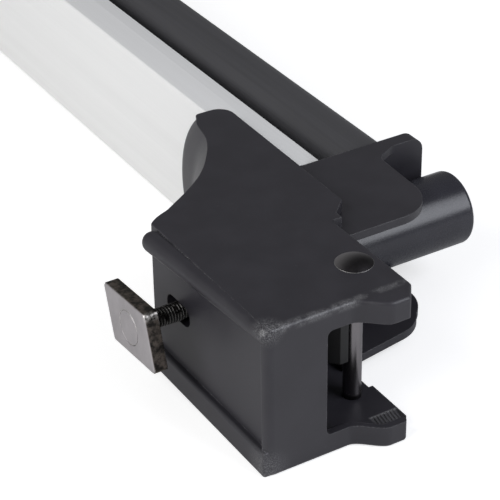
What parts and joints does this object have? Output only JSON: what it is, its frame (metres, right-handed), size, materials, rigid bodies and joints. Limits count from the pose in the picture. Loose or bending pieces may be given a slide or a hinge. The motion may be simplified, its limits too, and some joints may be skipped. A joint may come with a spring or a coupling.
{
  "type": "ski rack",
  "caption": "Clamping ski rack for a roof bar: silver lower arm and black upper arm between moulded end housings, with push-button latch and T-bolts.",
  "frame": {"origin": "middle of the whole box, at the level of the side that the rack lies on", "axes": "+X points away from the car roof in use, +Y runs from the latch end to the hinge end, +Z runs across the arms and is up as the rack lies"},
  "size_m": [0.135, 0.6272, 0.0572],
  "materials": {
    "black_plastic": "moulded black nylon, fine grain",
    "button_plastic": "smooth black",
    "slide_plastic": "smooth black acetal",
    "silver_aluminium": "satin anodised",
    "black_aluminium": "black anodised, satin",
    "pad_rubber": "ribbed, matte",
    "bolt_steel": "blackened, worn bright on the edges",
    "pin_steel": "blackened",
    "zinc_steel": "zinc plated",
    "spring_steel": "drawn wire"
  },
  "bodies": {
    "base": {"latch_housing": "black_plastic", "hinge_housing": "black_plastic", "lower_arm": "silver_aluminium", "lower_pad": "pad_rubber", "strike_pin": "pin_steel", "hinge_pin": "pin_steel", "hinge_washers": "zinc_steel", "clamp_washer_latch_end": "zinc_steel", "clamp_washer_hinge_end": "zinc_steel", "arm_screws": "zinc_steel"},
    "upper": {"upper_arm": "black_aluminium", "upper_pad": "pad_rubber", "upper_end_cap": "black_plastic", "hinge_cap": "black_plastic", "latch_cover": "black_plastic", "cap_screws": "zinc_steel", "cover_screws": "zinc_steel", "button_spring": "spring_steel", "latch_spring": "spring_steel"},
    "button": {"release_button": "button_plastic"},
    "latch": {"latch_slide": "slide_plastic"},
    "bolt_latch_end": {"t_bolt_latch_end": "bolt_steel"},
    "bolt_hinge_end": {"t_bolt_hinge_end": "bolt_steel"},
    "nut_latch_end": {"clamp_nut_latch_end": "zinc_steel"},
    "nut_hinge_end": {"clamp_nut_hinge_end": "zinc_steel"}
  },
  "joints": [
    {"name": "arm_hinge", "type": "hinge", "parent": "base", "child": "upper", "pos_m": [0.0415, 0.27358, 0.0275], "axis": [0, 0, 1], "range_deg": [0, 85]},
    {"name": "button_press", "type": "slide", "parent": "upper", "child": "button", "axis": [-1, 0, 0], "range_m": [0, 0.008], "stiffness_N_per_m": 800, "springref_m": -0.004, "deforming": ["button_spring"]},
    {"name": "latch_draw", "type": "slide", "parent": "upper", "child": "latch", "axis": [0, 1, 0], "range_m": [0, 0.008], "stiffness_N_per_m": 400, "springref_m": -0.004, "deforming": ["latch_spring"]},
    {"name": "nut_turn_latch_end", "type": "hinge", "parent": "base", "child": "nut_latch_end", "pos_m": [-0.0415, -0.25043, 0.0305], "axis": [-1, 0, 0], "range_deg": [0, 2880]},
    {"name": "bolt_draw_latch_end", "type": "slide", "parent": "base", "child": "bolt_latch_end", "axis": [1, 0, 0], "range_m": [0, 0.008]},
    {"name": "nut_turn_hinge_end", "type": "hinge", "parent": "base", "child": "nut_hinge_end", "pos_m": [-0.0415, 0.25757, 0.0305], "axis": [-1, 0, 0], "range_deg": [0, 2880]},
    {"name": "bolt_draw_hinge_end", "type": "slide", "parent": "base", "child": "bolt_hinge_end", "axis": [1, 0, 0], "range_m": [0, 0.008]}
  ],
  "couplings": [
    {"joint": "latch_draw", "follows": "button_press", "ratio": 1},
    {"joint": "nut_turn_latch_end", "follows": "bolt_draw_latch_end", "rad_per_m": 6283.2},
    {"joint": "nut_turn_hinge_end", "follows": "bolt_draw_hinge_end", "rad_per_m": 6283.2}
  ]
}
